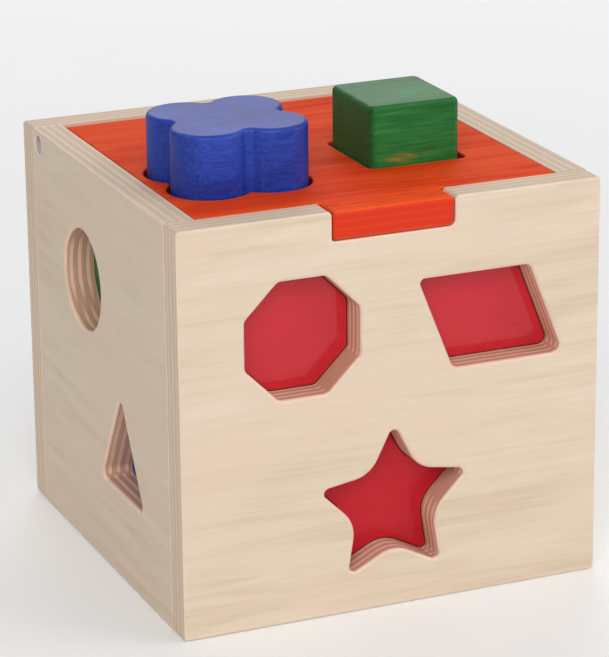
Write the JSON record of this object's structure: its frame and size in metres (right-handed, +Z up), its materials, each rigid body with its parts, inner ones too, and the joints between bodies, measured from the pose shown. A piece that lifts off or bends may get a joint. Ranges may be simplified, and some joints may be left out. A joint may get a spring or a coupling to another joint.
{
  "type": "shape sorter",
  "caption": "Wooden box shape sorter: natural plywood walls with shaped holes, a red hinged lid with a front tab, and coloured wooden blocks that slide through the matching holes.",
  "frame": {"origin": "centre of the box's footprint, on the surface it stands on", "axes": "+Z up, +Y from the front wall (the one with the lid's tab) to the back wall, +X to the right as seen from the front"},
  "size_m": [0.14, 0.14, 0.1495],
  "materials": {
    "birch_ply": "clear satin lacquer on pale birch plywood",
    "red_stained_ply": "orange-red water stain under satin lacquer, grain showing",
    "red_paint": "crimson paint, semi-gloss",
    "green_stain": "green water stain under semi-gloss lacquer",
    "blue_stain": "blue water stain under semi-gloss lacquer",
    "beech_dowel": "raw beech",
    "steel": "bright zinc plate"
  },
  "bodies": {
    "box": {"front_wall": "birch_ply", "back_wall": "birch_ply", "left_wall": "birch_ply", "right_wall": "birch_ply", "bottom_panel": "birch_ply", "corner_dowel_front_left_lower": "beech_dowel", "corner_dowel_front_left_upper": "beech_dowel", "corner_dowel_front_right_lower": "beech_dowel", "corner_dowel_front_right_upper": "beech_dowel", "corner_dowel_back_left_lower": "beech_dowel", "corner_dowel_back_left_upper": "beech_dowel", "corner_dowel_back_right_lower": "beech_dowel", "corner_dowel_back_right_upper": "beech_dowel", "hinge_pin_left": "steel", "hinge_pin_right": "steel"},
    "lid": {"lid": "red_stained_ply"},
    "octagon_block": {"octagon_block": "red_paint"},
    "parallelogram_block": {"parallelogram_block": "red_paint"},
    "star_block": {"star_block": "red_paint"},
    "circle_block": {"circle_block": "green_stain"},
    "triangle_block": {"triangle_block": "blue_stain"},
    "hexagon_block": {"hexagon_block": "blue_stain"},
    "cross_block": {"cross_block": "green_stain"},
    "oval_block": {"oval_block": "red_paint"},
    "half_round_block": {"half_round_block": "green_stain"},
    "trapezium_block": {"trapezium_block": "blue_stain"},
    "flower_block": {"flower_block": "blue_stain"},
    "cuboid_block": {"cuboid_block": "green_stain"}
  },
  "joints": [
    {"name": "lid_hinge", "type": "hinge", "parent": "box", "child": "lid", "pos_m": [0, 0.055, 0.1255], "axis": [-1, 0, 0], "range_deg": [0, 95]},
    {"name": "octagon_slide", "type": "slide", "parent": "box", "child": "octagon_block", "axis": [0, -1, 0], "range_m": [0, 0.04]},
    {"name": "parallelogram_slide", "type": "slide", "parent": "box", "child": "parallelogram_block", "axis": [0, -1, 0], "range_m": [0, 0.04]},
    {"name": "star_slide", "type": "slide", "parent": "box", "child": "star_block", "axis": [0, -1, 0], "range_m": [0, 0.04]},
    {"name": "circle_slide", "type": "slide", "parent": "box", "child": "circle_block", "axis": [-1, 0, 0], "range_m": [0, 0.04]},
    {"name": "triangle_slide", "type": "slide", "parent": "box", "child": "triangle_block", "axis": [-1, 0, 0], "range_m": [0, 0.04]},
    {"name": "hexagon_slide", "type": "slide", "parent": "box", "child": "hexagon_block", "axis": [1, 0, 0], "range_m": [0, 0.04]},
    {"name": "cross_slide", "type": "slide", "parent": "box", "child": "cross_block", "axis": [1, 0, 0], "range_m": [0, 0.04]},
    {"name": "oval_slide", "type": "slide", "parent": "box", "child": "oval_block", "axis": [0, 1, 0], "range_m": [0, 0.04]},
    {"name": "half_round_slide", "type": "slide", "parent": "box", "child": "half_round_block", "axis": [0, 1, 0], "range_m": [0, 0.04]},
    {"name": "trapezium_slide", "type": "slide", "parent": "box", "child": "trapezium_block", "axis": [0, 1, 0], "range_m": [0, 0.04]},
    {"name": "flower_slide", "type": "slide", "parent": "lid", "child": "flower_block", "axis": [0, 0, 1], "range_m": [-0.007, 0.02]},
    {"name": "cuboid_slide", "type": "slide", "parent": "lid", "child": "cuboid_block", "axis": [0, 0, 1], "range_m": [-0.03, 0.02]}
  ]
}
